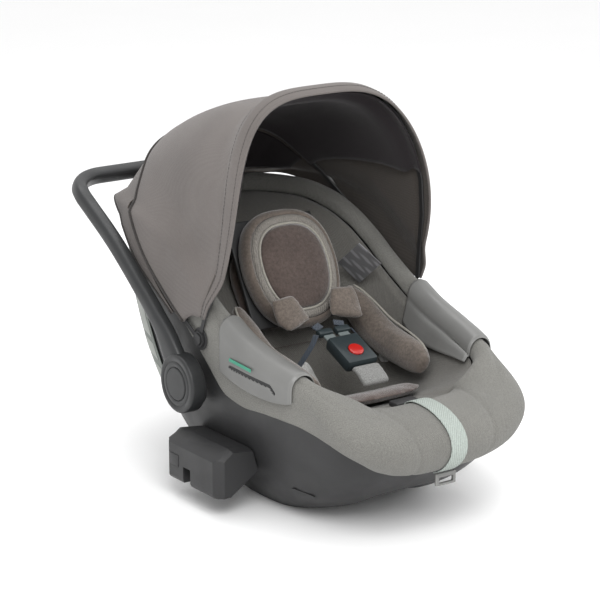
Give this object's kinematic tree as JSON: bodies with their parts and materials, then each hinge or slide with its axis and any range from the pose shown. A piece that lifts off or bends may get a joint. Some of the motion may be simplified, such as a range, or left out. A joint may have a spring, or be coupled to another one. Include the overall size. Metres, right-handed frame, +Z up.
{
  "type": "infant car seat",
  "caption": "Rear-facing infant car seat shell with swinging carry handle, folding canopy, padded insert, harness with buckle, belt guides and side adapters.",
  "frame": {"origin": "centre of the bounding box at the level of the shell's underside", "axes": "+Z up, -Y towards the child's feet, +Y towards the head end, +X across the seat"},
  "size_m": [0.44, 0.6982, 0.5712],
  "materials": {
    "black_plastic": "fine moulded texture, satin black",
    "handle_plastic": "fine moulded texture, satin black",
    "satin_grey_plastic": "smooth satin grey",
    "green_plastic": "satin green",
    "red_plastic": "glossy red",
    "slate_plastic": "satin dark slate",
    "tongue_metal": "plain plated steel",
    "cover_fabric": "grey melange woven cover",
    "canopy_fabric": "taupe grey canopy cloth",
    "insert_fabric": "taupe brown short-pile knit",
    "webbing": "woven slate blue webbing",
    "pull_strap": "pale grey-green webbing",
    "woven_label": "silver grey woven label",
    "label_plate": "pale printed plate",
    "foam": "moulded foam"
  },
  "bodies": {
    "carrier": {"shell": "black_plastic", "rim_cover": "cover_fabric", "seat_lining": "cover_fabric", "foam_liner": "foam", "side_plate_left": "label_plate", "side_plate_right": "label_plate", "corner_plug_left": "black_plastic", "corner_plug_right": "black_plastic", "connector_left": "black_plastic", "connector_right": "black_plastic", "handle_boss_left": "black_plastic", "handle_boss_right": "black_plastic", "belt_guide_left": "satin_grey_plastic", "belt_guide_right": "satin_grey_plastic", "belt_marker_left": "green_plastic", "belt_marker_right": "green_plastic", "handle_pin_left": "tongue_metal", "handle_pin_right": "tongue_metal", "canopy_bracket_left": "black_plastic", "canopy_bracket_right": "black_plastic", "headrest_rail_left": "black_plastic", "headrest_rail_right": "black_plastic", "bolster_left": "insert_fabric", "bolster_right": "insert_fabric", "tongue_left": "tongue_metal", "tongue_right": "tongue_metal", "tongue_grip_left": "slate_plastic", "tongue_grip_right": "slate_plastic", "shoulder_pad_left": "insert_fabric", "shoulder_pad_right": "insert_fabric", "shoulder_strap_left": "webbing", "shoulder_strap_right": "webbing", "lap_strap_left": "webbing", "lap_strap_right": "webbing", "canopy_rear_bow": "black_plastic", "canopy_rear_cloth": "canopy_fabric", "insert_seat": "insert_fabric", "insert_back": "insert_fabric", "buckle": "slate_plastic", "crotch_pad": "cover_fabric", "pull_strap": "pull_strap", "strap_loop": "satin_grey_plastic", "adjuster_housing": "black_plastic", "woven_label": "woven_label"},
    "handle": {"handle": "handle_plastic"},
    "handle_button_left": {"handle_button_left": "handle_plastic"},
    "handle_button_right": {"handle_button_right": "handle_plastic"},
    "canopy_front": {"canopy_front_bow": "black_plastic", "canopy_cloth": "canopy_fabric"},
    "headrest": {"headrest_plate": "black_plastic", "head_pad": "insert_fabric"},
    "connector_latch_left": {"connector_latch_left": "black_plastic"},
    "connector_latch_right": {"connector_latch_right": "black_plastic"},
    "buckle_button": {"buckle_button": "red_plastic"}
  },
  "joints": [
    {"name": "handle_swing", "type": "hinge", "parent": "carrier", "child": "handle", "pos_m": [0, 0.014, 0.167], "axis": [1, 0, 0], "range_deg": [-55, 50]},
    {"name": "handle_button_left_push", "type": "slide", "parent": "handle", "child": "handle_button_left", "axis": [1, 0, 0], "range_m": [0, 0.004], "stiffness_N_per_m": 800, "springref_m": -0.001},
    {"name": "handle_button_right_push", "type": "slide", "parent": "handle", "child": "handle_button_right", "axis": [-1, 0, 0], "range_m": [0, 0.004], "stiffness_N_per_m": 800, "springref_m": -0.001},
    {"name": "canopy_fold", "type": "hinge", "parent": "carrier", "child": "canopy_front", "pos_m": [0, -0.004, 0.232], "axis": [-1, 0, 0], "range_deg": [0, 40], "deforming": ["canopy_cloth"]},
    {"name": "headrest_height", "type": "slide", "parent": "carrier", "child": "headrest", "axis": [0, 0.4691, 0.8832], "range_m": [0, 0.08]},
    {"name": "connector_latch_left_push", "type": "slide", "parent": "carrier", "child": "connector_latch_left", "axis": [1, 0, 0], "range_m": [0, 0.004], "stiffness_N_per_m": 800, "springref_m": -0.001},
    {"name": "connector_latch_right_push", "type": "slide", "parent": "carrier", "child": "connector_latch_right", "axis": [-1, 0, 0], "range_m": [0, 0.004], "stiffness_N_per_m": 800, "springref_m": -0.001},
    {"name": "buckle_button_push", "type": "slide", "parent": "carrier", "child": "buckle_button", "axis": [0, 0.4191, -0.908], "range_m": [0, 0.0025], "stiffness_N_per_m": 900, "springref_m": -0.001}
  ]
}
